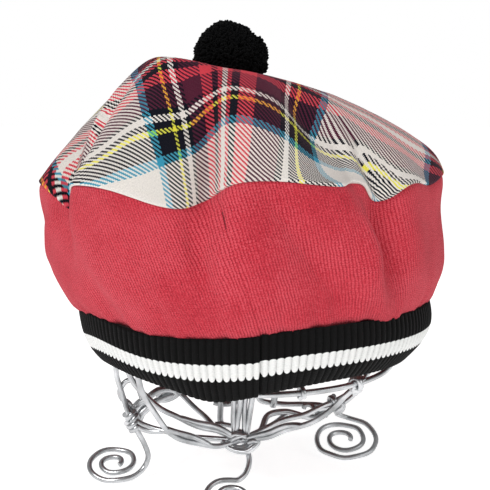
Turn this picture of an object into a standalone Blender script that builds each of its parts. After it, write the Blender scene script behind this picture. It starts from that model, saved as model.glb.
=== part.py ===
"""A pompom beret standing on a wire hat stand.

A tartan crown is gathered into a seam above a deep knitted side, which ends in a
ribbed band with a pale stripe; a yarn pompom sits in the dip of the crown. The stand
is bent wire: a hoop inside the band, a ring under the crown, a basket of wires running
down to a hub, and three legs that end in scrolls.

Lengths are metres, +Z up. The hat is worked out from the middle of the band's lower
rim, and at the end everything is moved so that the origin is the middle of the
footprint on the floor. Azimuths are degrees, 0 to the right, -90 to the front.
"""

import math

import bmesh
import bpy
import numpy as np
from mathutils import Matrix, Vector

GAP = 0.0003

BAND_HEIGHT = 0.0315
BAND_TOP_R = 0.0975
BAND_FOOT_R = 0.0865
BAND_WALL = 0.0030
BAND_BULGE = 0.0040
BULGE_LEAN = 0.45
BAND_OFFSET = 0.005
RIB_COUNT = 128
RIB_DEPTH = 0.0010
STRIPE_TOP = 0.40
STRIPE_FOOT = 0.65

BRIM_R = 0.112
BRIM_Z = 0.1055
BELLY_R = 0.115
HEM_FLARE = 0.010
SIDE_WALL = 0.0020

CROWN_RISE = 0.052
CROWN_WALL = 0.0015
CROWN_OFFSET = -0.006
RIDGE_R = 0.052
SEAT_DIP = 0.0108

POMPOM_R = 0.0202
POMPOM_X = -0.0078
POMPOM_FLAT = 0.96
POMPOM_LOCKS = 90
LOCK_DEPTH = 0.0016

STAND_HEIGHT = 0.075
WIRE_R = 0.0014
HOOP_CLEARANCE = 0.0041
HOOP_R = BAND_FOOT_R - BAND_WALL - HOOP_CLEARANCE - WIRE_R
HOOP_DROP = 0.001
HOOP_RISE = 0.007
CROWN_RING_SHARE = 0.50
RING_CLEARANCE = 0.0022
HUB_X = -0.003
HUB_Y = -0.020
HUB_HEIGHT = 0.0305
HUB_WRAP = 3.2
HUB_R = HUB_WRAP * WIRE_R
HUB = (HUB_X, HUB_Y, HUB_HEIGHT - STAND_HEIGHT)
POST_HEIGHT = 0.0385
INNER_RING_R = 0.012
SCROLL_R = 0.016

COLUMNS = 96
CROWN_RINGS = (0.17, 0.33, 0.45, 0.56, 0.69, 0.84, 1.0)
SIDE_ROWS = 7

# One row for each azimuth. The reaches and lifts are shares of the named sizes:
# ridge reach and lift of RIDGE_R and CROWN_RISE, brim reach and lift of BRIM_R and
# BRIM_Z, belly of BELLY_R. hem and rim lift the band's top and its lower edge by
# shares of BAND_HEIGHT. out and up place the shoulder of the crown between the ridge
# and the brim.
SECTIONS = (
    # azimuth, ridge_reach, ridge_lift, brim_reach, brim_lift, belly, hem, out, up, rim
    (-180, 0.74, 1.195, 0.955, 0.960, 0.950, -0.15, 0.59, 0.51, 0.02),
    (-150, 0.89, 1.185, 0.985, 0.990, 0.970, 0.06, 0.58, 0.52, 0.15),
    (-120, 1.14, 1.18, 1.020, 1.031, 0.990, -0.03, 0.56, 0.50, 0.05),
    (-104, 1.14, 1.125, 1.000, 1.042, 0.990, 0.00, 0.62, 0.52, -0.07),
    (-90, 1.14, 1.07, 0.990, 1.052, 0.985, 0.06, 0.72, 0.57, 0.03),
    (-78, 1.14, 1.01, 1.000, 1.050, 0.988, 0.135, 0.74, 0.57, 0.13),
    (-66, 1.14, 0.96, 1.010, 1.028, 0.990, 0.165, 0.62, 0.50, 0.19),
    (-48, 1.10, 0.88, 1.015, 1.020, 0.990, 0.17, 0.64, 0.50, 0.20),
    (-25, 1.02, 0.80, 1.025, 1.008, 0.972, 0.14, 0.82, 0.43, 0.16),
    (10, 0.94, 0.76, 1.013, 1.005, 0.962, 0.08, 0.98, 0.30, 0.11),
    (45, 1.00, 0.84, 0.990, 0.980, 0.985, 0.05, 0.76, 0.44, 0.05),
    (90, 1.08, 0.96, 0.980, 0.970, 0.985, 0.00, 0.58, 0.50, 0.00),
    (135, 0.86, 1.18, 0.970, 0.960, 0.960, -0.06, 0.56, 0.48, -0.02),
)

# One row for each fold. It runs from seam_at to band_at, leaning round the side.
# drop lowers the seam and the tucks pull the cloth in, as shares of FOLD_DEPTH;
# left and right are the half widths in degrees, reach how far it climbs the crown.
FOLD_DEPTH = 0.010
FOLDS = (
    # name, seam_at, band_at, drop, tuck_seam, tuck_mid, tuck_band, left, right, reach
    ("left tuck", -177.0, -177.0, 0.0, 0.45, 0.00, 0.0, 16.0, 13.0, 0.22),
    ("left pleat", -142.0, -150.0, 1.4, 1.00, 0.30, 0.0, 9.0, 4.5, 0.75),
    ("low left hollow", -146.0, -132.0, 0.0, 0.00, 0.24, 0.3, 5.0, 3.0, 0.30),
    ("front sag", -102.0, -104.0, 1.17, 0.00, 0.50, 0.1, 15.5, 8.5, 0.95),
    ("front tuck", -96.5, -102.0, 0.1, 1.10, 0.32, 0.0, 4.0, 4.0, 0.95),
    ("broad hollow", -82.0, -62.0, 0.0, 0.15, 0.66, 0.25, 7.5, 6.0, 0.30),
    ("flap tuck", -58.0, -56.0, -0.08, 0.60, -0.10, 0.0, 2.8, 4.0, 0.60),
    ("right pleat", -51.0, -47.0, 0.0, 0.50, 1.05, -0.2, 3.5, 4.6, 0.30),
    ("right flap", -50.0, -45.0, 0.9, 0.00, 0.00, 0.0, 3.1, 7.0, 0.60),
    ("right ridge", -57.0, -52.0, 0.0, 0.00, -0.28, 0.0, 4.0, 3.0, 0.30),
    ("right lip", -27.0, -25.0, 0.3, 0.15, 0.24, 0.1, 7.0, 7.0, 0.50),
)

# One row for each crease that runs down the crown, from top_at high on the skirt to
# foot_at at the seam. depth is a share of FOLD_DEPTH along the surface's normal; left and
# right are half widths in degrees; start, full and end are shares of the crown's section.
CREASES = (
    # name, top_at, foot_at, bend, depth, left, right, start, full, end
    ("left crease", -164.0, -142.0, 3.0, 0.60, 9.0, 3.5, 0.60, 0.85, 1.06),
    ("front valley", -114.0, -95.0, 1.0, 0.45, 7.0, 4.0, 0.62, 0.82, 1.05),
    ("right valley", -72.0, -61.0, 1.0, 0.45, 5.0, 5.0, 0.60, 0.82, 1.05),
)

# One row for each basket wire, from the hoop to the hub. out and down are shares of
# the way from the hoop to the hub, across and in height, for the two handles of its
# curve.
BASKET = (
    # name, hoop_at, out_1, down_1, out_2, down_2
    ("stand_basket_front_left", -153, 0.10, 0.60, 0.55, 0.66),
    ("stand_basket_low_left", -143, 0.10, 0.70, 0.45, 1.12),
    ("stand_basket_left", -175, 0.02, 1.02, 0.24, 1.02),
    ("stand_basket_right", -46, 0.18, 0.42, 0.40, 0.66),
    ("stand_basket_rear_left", 146, 0.20, 0.65, 0.55, 0.92),
    ("stand_basket_rear_right", 14, 0.20, 0.80, 0.45, 0.62),
)

# One row for each leg: the basket wire it hangs from and how far along that wire, or
# the hub, then the middle of its scroll as shares of HOOP_R, the scroll's reach across
# and back as shares of SCROLL_R, and its lean, turns, hand and the angle it starts at.
# aside, drop and swing are shares of the arm's length for the handles of its curve.
LEGS = (
    # name, wire, along, foot_x, foot_y, wide, deep, lean, turns, hand, start, aside, drop, swing
    ("stand_leg_left", "stand_basket_left", 0.40, -0.98, 0.08, 1.08, 0.93, 28, 2.0, -1, -30,
     0.26, 0.40, 0.38),
    ("stand_leg_right", "stand_basket_rear_right", 0.49, 0.78, 0.61, 1.40, 1.25, 24, 2.25, -1, 80,
     0.12, 0.04, 0.22),
    ("stand_leg_front", "hub", 0.0, -0.10, -0.63, 0.94, 0.94, 28, 2.0, 1, 80,
     0.25, 0.35, 0.35),
)
LEG_AWAY = (0.65, -0.75)
LEG_GAP = 0.0017
HUB_LEG = (0.70, -0.50, -0.50)
SCROLL_END = 0.20


def periodic(azimuth, column):
    """Value of one SECTIONS column at an azimuth, smooth all round."""
    xs = np.array([row[0] for row in SECTIONS], float)
    ys = np.array([row[column] for row in SECTIONS], float)
    xs = np.concatenate([xs[-2:] - 360, xs, xs[:2] + 360])
    ys = np.concatenate([ys[-2:], ys, ys[:2]])
    step = np.diff(xs)
    rate = np.diff(ys) / step
    slope = np.zeros(len(xs))
    slope[1:-1] = (rate[:-1] * step[1:] + rate[1:] * step[:-1]) / (step[1:] + step[:-1])
    at = (np.asarray(azimuth, float) - xs[2]) % 360 + xs[2]
    i = np.clip(np.searchsorted(xs, at, side="right") - 1, 1, len(xs) - 3)
    t = (at - xs[i]) / step[i]
    from_here = (2 * t**3 - 3 * t**2 + 1) * ys[i] + (t**3 - 2 * t**2 + t) * step[i] * slope[i]
    to_next = (3 * t**2 - 2 * t**3) * ys[i + 1] + (t**3 - t**2) * step[i] * slope[i + 1]
    return from_here + to_next


def bell(azimuth, middle, left, right):
    """Smooth hump round an azimuth with its own half width on each side."""
    away = (azimuth - middle + 180) % 360 - 180
    return np.exp(-((away / np.where(away < 0, left, right)) ** 2))


def through(v, start, middle, end):
    """Parabola through three values at v = 0, 0.5 and 1."""
    return start * (1 - v) * (1 - 2 * v) + 4 * middle * v * (1 - v) + end * v * (2 * v - 1)


def spline(points, t):
    """Quadratic B-spline that starts and ends on its first and last points."""
    points = np.stack(np.broadcast_arrays(*points, t)[:-1])
    spans = len(points) - 2
    place = np.clip(t * spans, 0, spans - 1e-9)
    k = np.floor(place).astype(int)
    u = place - k
    k = np.broadcast_to(k, points.shape[1:])
    a, b, c = (np.take_along_axis(points, (k + j)[None], 0)[0] for j in range(3))
    start = np.where(k == 0, a, (a + b) / 2)
    end = np.where(k == spans - 1, c, (b + c) / 2)
    return start * (1 - u) ** 2 + 2 * b * u * (1 - u) + end * u**2


def polar(azimuth, radius, height, offset):
    """Points at a radius about the axis X = offset."""
    angle = np.radians(azimuth)
    return np.stack([offset + radius * np.cos(angle), radius * np.sin(angle), height], -1)


def crease_at(row, share):
    """Azimuth of a crease at a share of the crown's section."""
    name, top_at, foot_at, bend, depth, left, right, start, full, end = row
    return top_at + (foot_at - top_at) * np.clip((share - start) / (1 - start), 0, 1) ** bend


def seam_drop(azimuth):
    drop = 0 * azimuth
    for name, seam, band, lower, t0, t1, t2, left, right, reach in FOLDS:
        drop = drop + FOLD_DEPTH * lower * bell(azimuth, seam, left, right)
    return drop


def crown(azimuth, share):
    """Outside of the crown, from its middle (share 0) over the ridge to the seam (1)."""
    azimuth, share = np.broadcast_arrays(np.asarray(azimuth, float), np.asarray(share, float))
    ridge_r = RIDGE_R * periodic(azimuth, 1)
    ridge_z = BRIM_Z + CROWN_RISE * periodic(azimuth, 2)
    brim_r = BRIM_R * periodic(azimuth, 3)
    brim_z = BRIM_Z * periodic(azimuth, 4)
    seat = BRIM_Z + CROWN_RISE - SEAT_DIP + 0 * azimuth
    radius = spline(
        [0 * azimuth, 0.45 * ridge_r, 0.85 * ridge_r, 1.08 * ridge_r,
         ridge_r + periodic(azimuth, 7) * (brim_r - ridge_r), brim_r], share)
    height = spline(
        [seat, seat, seat + 0.75 * (ridge_z - seat), ridge_z + 0.04 * CROWN_RISE,
         brim_z + periodic(azimuth, 8) * (ridge_z - brim_z), brim_z], share)
    skirt = np.clip((share - 0.45) / 0.55, 0, 1)
    for name, seam, band_at, lower, t0, t1, t2, left, right, reach in FOLDS:
        grown = np.clip((skirt - 1 + reach) / reach, 0, 1)
        grown = 0.5 * grown**2 * (3 - 2 * grown) + 0.5 * grown**2
        hump = FOLD_DEPTH * grown * bell(azimuth, seam, left, right)
        radius = radius - t0 * hump
        height = height - lower * hump
    slope = np.arctan2(ridge_z - brim_z, brim_r - ridge_r)
    for row in CREASES:
        name, top_at, foot_at, bend, depth, left, right, start, full, end = row
        up = np.clip((share - start) / (full - start), 0, 1)
        down = np.clip((end - share) / (end - full), 0, 1)
        hump = FOLD_DEPTH * depth * up**2 * (3 - 2 * up) * down**2 * (3 - 2 * down)
        hump = hump * bell(azimuth, crease_at(row, share), left, right)
        radius = radius - hump * np.sin(slope)
        height = height - hump * np.cos(slope)
    return polar(azimuth, radius, height, CROWN_OFFSET)


def side(azimuth, v):
    """Outside of the knitted side, from the seam (v = 0) to the band (v = 1)."""
    azimuth, v = np.broadcast_arrays(np.asarray(azimuth, float), np.asarray(v, float))
    brim_r = BRIM_R * periodic(azimuth, 3)
    top = BRIM_Z * periodic(azimuth, 4) - seam_drop(azimuth)
    belly = BELLY_R * periodic(azimuth, 5)
    foot = BAND_HEIGHT * (1 + periodic(azimuth, 6))
    tall = top - foot
    radius = spline(
        [brim_r, belly, 0.99 * belly, BAND_TOP_R + HEM_FLARE, BAND_TOP_R], v)
    height = spline([top, top - 0.16 * tall, top - 0.5 * tall, foot + 0.18 * tall, foot], v)
    for name, seam, band, lower, t0, t1, t2, left, right, reach in FOLDS:
        spread = 1 + 0.6 * v
        hump = bell(azimuth, seam + (band - seam) * v, left * spread, right * spread)
        radius = radius - FOLD_DEPTH * through(v, t0, t1, t2) * hump
    return polar(azimuth, radius, height, CROWN_OFFSET + (BAND_OFFSET - CROWN_OFFSET) * v)


def band(azimuth, v, rib=0.0):
    """Outside of the band, from its top (v = 0) to its lower rim (v = 1)."""
    azimuth, v = np.broadcast_arrays(np.asarray(azimuth, float), np.asarray(v, float))
    bulge = BAND_BULGE * (1 + BULGE_LEAN * np.cos(np.radians(azimuth)))
    radius = BAND_TOP_R + (BAND_FOOT_R - BAND_TOP_R) * v + bulge * np.sin(np.pi * v)
    hem = periodic(azimuth, 6)
    height = BAND_HEIGHT * (1 - v + hem + (periodic(azimuth, 9) - hem) * v**3)
    return polar(azimuth, radius + rib, height, BAND_OFFSET)


def columns(count):
    """Azimuths round the hat, closer together across the folded front."""
    fine = np.linspace(-180, 180, 1441)
    density = 1 + 2.2 * np.exp(-(((fine + 86) / 62) ** 6))
    total = np.concatenate([[0], np.cumsum((density[1:] + density[:-1]) / 2)])
    return np.interp(np.arange(count) / count * total[-1], total, fine)


def material(name, colour, roughness, metallic=0.0):
    mat = bpy.data.materials.new(name)
    mat.use_nodes = True
    shader = mat.node_tree.nodes["Principled BSDF"]
    shader.inputs["Base Color"].default_value = (*colour, 1)
    shader.inputs["Roughness"].default_value = roughness
    shader.inputs["Metallic"].default_value = metallic
    return mat


def add_mesh(name, verts, faces, mat, smooth=True):
    mesh = bpy.data.meshes.new(name)
    mesh.from_pydata([tuple(map(float, v)) for v in verts], [], faces)
    mesh.materials.append(mat)
    if smooth:
        mesh.shade_smooth()
    mesh.update()
    obj = bpy.data.objects.new(name, mesh)
    bpy.context.collection.objects.link(obj)
    return obj


def thicken(obj, wall):
    """Cloth wall, grown inwards from the outside surface."""
    solid = obj.modifiers.new("Wall", "SOLIDIFY")
    solid.thickness = wall
    solid.offset = -1
    solid.use_even_offset = False
    return obj


def build_crown(mat):
    around = columns(COLUMNS)
    rings = crown(around[None, :], np.array(CROWN_RINGS)[:, None])
    verts = [crown(0.0, 0.0)] + list(rings.reshape(-1, 3))
    faces = []
    n = len(around)
    for i in range(n):
        j = (i + 1) % n
        faces.append((0, 1 + i, 1 + j))
        for k in range(len(CROWN_RINGS) - 1):
            low = 1 + k * n
            faces.append((low + i, low + n + i, low + n + j, low + j))
    return thicken(add_mesh("crown_top", verts, faces, mat), CROWN_WALL)


def build_side(mat):
    around = columns(COLUMNS)
    rows = side(around[None, :], np.linspace(0, 1, SIDE_ROWS)[:, None])
    rows[0, :, 2] -= CROWN_WALL + GAP
    verts = list(rows.reshape(-1, 3))
    faces = []
    n = len(around)
    for i in range(n):
        j = (i + 1) % n
        for k in range(SIDE_ROWS - 1):
            faces.append((k * n + i, k * n + n + i, k * n + n + j, k * n + j))
    return thicken(add_mesh("side_knit", verts, faces, mat), SIDE_WALL)


def build_band(dark, pale):
    """Ribs run down the outside; the inside is smooth, with one corner for each rib."""
    shares = (GAP / BAND_HEIGHT, STRIPE_TOP, STRIPE_FOOT, 1.0)
    inner_shares = (shares[0], 0.5, shares[-1])
    outer_n = 2 * RIB_COUNT
    outer_at = -180 + 360 * np.arange(outer_n) / outer_n
    rib = RIB_DEPTH * (0.5 - np.arange(outer_n) % 2)
    inner_at = outer_at[::2]
    verts = []
    for v in shares:
        verts.extend(band(outer_at, v, rib))
    for v in inner_shares:
        verts.extend(band(inner_at, v, -BAND_WALL))
    faces = []
    pale_faces = []
    inner_top = 4 * outer_n
    inner_foot = inner_top + 2 * RIB_COUNT
    for i in range(outer_n):
        j = (i + 1) % outer_n
        for k in range(3):
            if k == 1:
                pale_faces.append(len(faces))
            row = k * outer_n
            faces.append((row + i, row + outer_n + i, row + outer_n + j, row + j))
    for i in range(RIB_COUNT):
        j = (i + 1) % RIB_COUNT
        a, b, c = 2 * i, 2 * i + 1, (2 * i + 2) % outer_n
        foot = 3 * outer_n
        for k in range(2):
            row = inner_top + k * RIB_COUNT
            faces.append((row + i, row + j, row + RIB_COUNT + j, row + RIB_COUNT + i))
        faces.append((inner_top + i, a, b))
        faces.append((inner_top + i, b, inner_top + j))
        faces.append((inner_top + j, b, c))
        faces.append((inner_foot + i, foot + b, foot + a))
        faces.append((inner_foot + i, inner_foot + j, foot + b))
        faces.append((inner_foot + j, foot + c, foot + b))
    obj = add_mesh("rib_band", verts, faces, dark, smooth=False)
    obj.data.materials.append(pale)
    for index in pale_faces:
        obj.data.polygons[index].material_index = 1
    return obj


def build_pompom(mat):
    """Round head whose surface rises into short locks of yarn."""
    bm = bmesh.new()
    bmesh.ops.create_icosphere(bm, subdivisions=4, radius=1.0)
    golden = math.pi * (3 - math.sqrt(5))
    locks = []
    for i in range(POMPOM_LOCKS):
        z = 1 - (2 * i + 1) / POMPOM_LOCKS
        flat = math.sqrt(1 - z * z)
        locks.append((flat * math.cos(golden * i), flat * math.sin(golden * i), z))
    locks = np.array(locks)
    spacing = math.sqrt(4 * math.pi / POMPOM_LOCKS) / 2
    for vert in bm.verts:
        unit = np.array(vert.co.normalized())
        near = math.acos(min(1.0, float((locks @ unit).max())))
        height = POMPOM_R - LOCK_DEPTH * min(1.0, near / spacing) ** 2
        vert.co = Vector(unit * height)
        vert.co.z *= POMPOM_FLAT
    mesh = bpy.data.meshes.new("pompom")
    bm.to_mesh(mesh)
    bm.free()
    mesh.materials.append(mat)
    mesh.shade_smooth()
    obj = bpy.data.objects.new("pompom", mesh)
    bpy.context.collection.objects.link(obj)
    seat = BRIM_Z + CROWN_RISE - SEAT_DIP
    obj.location = (POMPOM_X, 0, seat + GAP + POMPOM_R * POMPOM_FLAT)
    return obj


def wire(name, points, mat, cyclic=False):
    """Round wire along the points, six-sided, with filled ends."""
    curve = bpy.data.curves.new(name, "CURVE")
    curve.dimensions = "3D"
    curve.bevel_depth = WIRE_R
    curve.bevel_resolution = 1
    curve.use_fill_caps = True
    line = curve.splines.new("POLY")
    line.points.add(len(points) - 1)
    for point, spot in zip(line.points, points):
        point.co = (*spot, 1)
    line.use_cyclic_u = cyclic
    line.use_smooth = True
    curve.materials.append(mat)
    obj = bpy.data.objects.new(name, curve)
    bpy.context.collection.objects.link(obj)
    return obj


def hoop_point(azimuth):
    """Middle of the hoop's wire; the hoop rises a little towards the left."""
    angle = math.radians(azimuth)
    rise = HOOP_RISE * max(0.0, -math.cos(angle)) ** 2
    return Vector((BAND_OFFSET + HOOP_R * math.cos(angle), HOOP_R * math.sin(angle), rise - HOOP_DROP))


def crown_ring_point(azimuth):
    """Middle of the ring's wire, a gap under the crown near its ridge."""
    spot = crown(azimuth, CROWN_RING_SHARE)
    return Vector((spot[0], spot[1], spot[2] - CROWN_WALL - WIRE_R - RING_CLEARANCE))


def bezier(a, b, c, d, t):
    return a * (1 - t) ** 3 + b * 3 * t * (1 - t) ** 2 + c * 3 * t**2 * (1 - t) + d * t**3


def basket_point(row, share):
    """Point on a basket wire, from the hoop (share 0) to the hub (1)."""
    name, azimuth, out_1, down_1, out_2, down_2 = row
    start = hoop_point(azimuth)
    hub = Vector(HUB)
    way = hub - start
    first = start + Vector((way.x * out_1, way.y * out_1, way.z * down_1))
    second = start + Vector((way.x * out_2, way.y * out_2, way.z * down_2))
    return bezier(start, first, second, hub, share)


def trimmed(points, start, end):
    """The same run of points, shortened by a length at each end."""
    points = [Vector(p) for p in points]
    for length in (start, end):
        while length > 0 and (points[1] - points[0]).length <= length:
            length -= (points[1] - points[0]).length
            points.pop(0)
        points[0] = points[0].lerp(points[1], length / (points[1] - points[0]).length)
        points.reverse()
    return points


def build_stand(mat):
    clear = WIRE_R + GAP
    wire("stand_hoop", [hoop_point(a) for a in range(-180, 180, 12)], mat, True)
    ring = [crown_ring_point(a) for a in range(-180, 180, 18)]
    wire("stand_crown_ring", ring, mat, True)
    for number, azimuth in enumerate((0, 90, 180, -90), 1):
        ends = [hoop_point(azimuth), crown_ring_point(azimuth)]
        wire(f"stand_upright_{number}", trimmed(ends, clear + GAP, clear + 2 * GAP), mat)
    hub = Vector(HUB)
    ring_middle = hub + Vector((0, 0, POST_HEIGHT))
    ring = []
    for i in range(10):
        angle = math.tau * i / 10
        ring.append(ring_middle + INNER_RING_R * Vector((math.cos(angle), math.sin(angle), 0)))
    wire("stand_inner_ring", ring, mat, True)
    for number, i in enumerate((0, 5), 1):
        ends = [hub, ring[i]]
        wire(f"stand_post_{number}", trimmed(ends, HUB_R + GAP, clear + 2 * GAP), mat)
    bm = bmesh.new()
    bmesh.ops.create_uvsphere(bm, u_segments=10, v_segments=6, radius=HUB_R)
    mesh = bpy.data.meshes.new("stand_hub")
    bm.to_mesh(mesh)
    bm.free()
    mesh.materials.append(mat)
    mesh.shade_smooth()
    knot = bpy.data.objects.new("stand_hub", mesh)
    bpy.context.collection.objects.link(knot)
    knot.location = hub
    for row in BASKET:
        run = [basket_point(row, i / 10) for i in range(11)]
        run = trimmed(run, clear + GAP, HUB_R + 2 * GAP)
        wire(row[0], run[:1] + run[2:-1:2] + run[-1:], mat)
    holders = {row[0]: row for row in BASKET}
    for row in LEGS:
        name, holder, along, fx, fy, wide, deep, lean, turns, hand, begin, aside, drop, swing = row
        if holder in holders:
            top = basket_point(holders[holder], along)
            outside = math.copysign(LEG_AWAY[0], top.x)
            top += (WIRE_R + LEG_GAP) * Vector((outside, 0, LEG_AWAY[1]))
        else:
            top = hub + Vector(HUB_LEG).normalized() * (HUB_R + 2 * GAP)
        lean = math.radians(lean)
        across = Vector((1, 0, 0))
        back = Vector((0, math.cos(lean), math.sin(lean)))
        floor = -STAND_HEIGHT + WIRE_R
        steps = round(turns * 11)
        scroll = []
        for i in range(steps + 1):
            share = i / steps
            angle = math.radians(begin) + hand * math.tau * turns * share
            reach = SCROLL_R * (1 - (1 - SCROLL_END) * share)
            scroll.append(reach * (wide * math.cos(angle) * across + deep * math.sin(angle) * back))
        lowest = min(spot.z for spot in scroll)
        foot = Vector((HOOP_R * fx, HOOP_R * fy, floor - lowest))
        scroll = [foot + spot for spot in scroll]
        heading = (scroll[0] - scroll[1]).normalized()
        length = (scroll[0] - top).length
        first = top + length * Vector((aside, 0, -drop))
        second = scroll[0] + heading * swing * length
        leg = [bezier(top, first, second, scroll[0], i / 6) for i in range(6)]
        wire(name, leg + scroll, mat)


def main():
    for obj in list(bpy.data.objects):
        bpy.data.objects.remove(obj, do_unlink=True)
    tartan = material("tartan_cloth", (0.33, 0.13, 0.13), 0.85)
    knit = material("red_knit", (0.53, 0.042, 0.061), 0.9)
    dark = material("black_rib", (0.006, 0.006, 0.006), 0.95)
    pale = material("white_stripe", (0.85, 0.86, 0.84), 0.9)
    yarn = material("black_yarn", (0.004, 0.004, 0.004), 1.0)
    metal = material("bright_wire", (0.62, 0.62, 0.60), 0.32, 1.0)
    build_crown(tartan)
    build_side(knit)
    build_band(dark, pale)
    build_pompom(yarn)
    build_stand(metal)
    bpy.context.view_layer.update()
    graph = bpy.context.evaluated_depsgraph_get()
    spots = []
    for obj in bpy.data.objects:
        shape = obj.evaluated_get(graph)
        mesh = shape.to_mesh()
        spots.extend(obj.matrix_world @ v.co for v in mesh.vertices)
        shape.to_mesh_clear()
    low = Vector(min(s[i] for s in spots) for i in range(3))
    high = Vector(max(s[i] for s in spots) for i in range(3))
    shift = Vector((-(low.x + high.x) / 2, -(low.y + high.y) / 2, -low.z))
    for obj in bpy.data.objects:
        obj.matrix_world = Matrix.Translation(shift) @ obj.matrix_world


main()
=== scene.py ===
"""The pompom beret on its wire stand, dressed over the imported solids.

The crown is a disc of tartan laid over the crown's surface, so its stripes follow the
cloth's own flat coordinates. The side is fine plain knit, the band real ribs, and the
pompom a ball of cut yarn. The stand's wires are bent, wrapped and knotted round the
lines of their solids. Lengths are metres. The hat is worked out from the middle of the
band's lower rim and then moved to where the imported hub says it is.
"""

import math

import bpy
import numpy as np
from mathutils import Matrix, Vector, noise


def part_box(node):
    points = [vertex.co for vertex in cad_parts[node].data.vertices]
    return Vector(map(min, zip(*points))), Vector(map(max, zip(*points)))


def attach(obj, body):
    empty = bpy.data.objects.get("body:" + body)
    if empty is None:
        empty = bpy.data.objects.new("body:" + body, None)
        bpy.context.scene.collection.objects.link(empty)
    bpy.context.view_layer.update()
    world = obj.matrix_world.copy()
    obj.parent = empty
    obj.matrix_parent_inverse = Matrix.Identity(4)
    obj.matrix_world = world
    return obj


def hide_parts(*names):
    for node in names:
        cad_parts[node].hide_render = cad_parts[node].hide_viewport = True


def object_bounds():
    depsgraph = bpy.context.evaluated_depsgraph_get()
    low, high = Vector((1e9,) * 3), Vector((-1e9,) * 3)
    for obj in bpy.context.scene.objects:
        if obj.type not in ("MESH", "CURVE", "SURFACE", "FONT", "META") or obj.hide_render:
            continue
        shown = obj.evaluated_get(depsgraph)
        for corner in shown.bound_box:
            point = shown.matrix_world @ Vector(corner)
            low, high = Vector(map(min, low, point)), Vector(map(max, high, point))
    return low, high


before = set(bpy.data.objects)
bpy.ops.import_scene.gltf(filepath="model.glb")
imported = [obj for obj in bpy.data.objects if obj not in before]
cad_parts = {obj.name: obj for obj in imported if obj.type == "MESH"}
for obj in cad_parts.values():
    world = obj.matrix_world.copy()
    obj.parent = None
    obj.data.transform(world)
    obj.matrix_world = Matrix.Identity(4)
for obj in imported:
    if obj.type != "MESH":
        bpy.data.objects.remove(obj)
cad_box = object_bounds()

# Sizes shared with the solids
GAP = 0.0003
BAND_HEIGHT = 0.0315
BAND_TOP_R = 0.0975
BAND_FOOT_R = 0.0865
BAND_WALL = 0.0030
BAND_BULGE = 0.0040
BULGE_LEAN = 0.45
BAND_OFFSET = 0.005
STRIPE_TOP = 0.40
STRIPE_FOOT = 0.65
BRIM_R = 0.112
BRIM_Z = 0.1055
BELLY_R = 0.115
HEM_FLARE = 0.010
SIDE_WALL = 0.0020
CROWN_RISE = 0.052
CROWN_WALL = 0.0015
CROWN_OFFSET = -0.006
RIDGE_R = 0.052
SEAT_DIP = 0.0108
POMPOM_R = 0.0202
POMPOM_X = -0.0078
POMPOM_FLAT = 0.96
STAND_HEIGHT = 0.075
WIRE_R = 0.0014
HOOP_CLEARANCE = 0.0041
HOOP_R = BAND_FOOT_R - BAND_WALL - HOOP_CLEARANCE - WIRE_R
HOOP_DROP = 0.001
HOOP_RISE = 0.007
CROWN_RING_SHARE = 0.50
RING_CLEARANCE = 0.0022
HUB_X = -0.003
HUB_Y = -0.020
HUB_HEIGHT = 0.0305
HUB_WRAP = 3.2
HUB_R = HUB_WRAP * WIRE_R
HUB = Vector((HUB_X, HUB_Y, HUB_HEIGHT - STAND_HEIGHT))
POST_HEIGHT = 0.0385
INNER_RING_R = 0.012
SCROLL_R = 0.016

# Shares of RIDGE_R, CROWN_RISE, BRIM_R, BRIM_Z, BELLY_R and BAND_HEIGHT round the hat.
SECTIONS = (
    # azimuth, ridge_reach, ridge_lift, brim_reach, brim_lift, belly, hem, out, up, rim
    (-180, 0.74, 1.195, 0.955, 0.960, 0.950, -0.15, 0.59, 0.51, 0.02),
    (-150, 0.89, 1.185, 0.985, 0.990, 0.970, 0.06, 0.58, 0.52, 0.15),
    (-120, 1.14, 1.18, 1.020, 1.031, 0.990, -0.03, 0.56, 0.50, 0.05),
    (-104, 1.14, 1.125, 1.000, 1.042, 0.990, 0.00, 0.62, 0.52, -0.07),
    (-90, 1.14, 1.07, 0.990, 1.052, 0.985, 0.06, 0.72, 0.57, 0.03),
    (-78, 1.14, 1.01, 1.000, 1.050, 0.988, 0.135, 0.74, 0.57, 0.13),
    (-66, 1.14, 0.96, 1.010, 1.028, 0.990, 0.165, 0.62, 0.50, 0.19),
    (-48, 1.10, 0.88, 1.015, 1.020, 0.990, 0.17, 0.64, 0.50, 0.20),
    (-25, 1.02, 0.80, 1.025, 1.008, 0.972, 0.14, 0.82, 0.43, 0.16),
    (10, 0.94, 0.76, 1.013, 1.005, 0.962, 0.08, 0.98, 0.30, 0.11),
    (45, 1.00, 0.84, 0.990, 0.980, 0.985, 0.05, 0.76, 0.44, 0.05),
    (90, 1.08, 0.96, 0.980, 0.970, 0.985, 0.00, 0.58, 0.50, 0.00),
    (135, 0.86, 1.18, 0.970, 0.960, 0.960, -0.06, 0.56, 0.48, -0.02),
)
FOLD_DEPTH = 0.010
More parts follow.
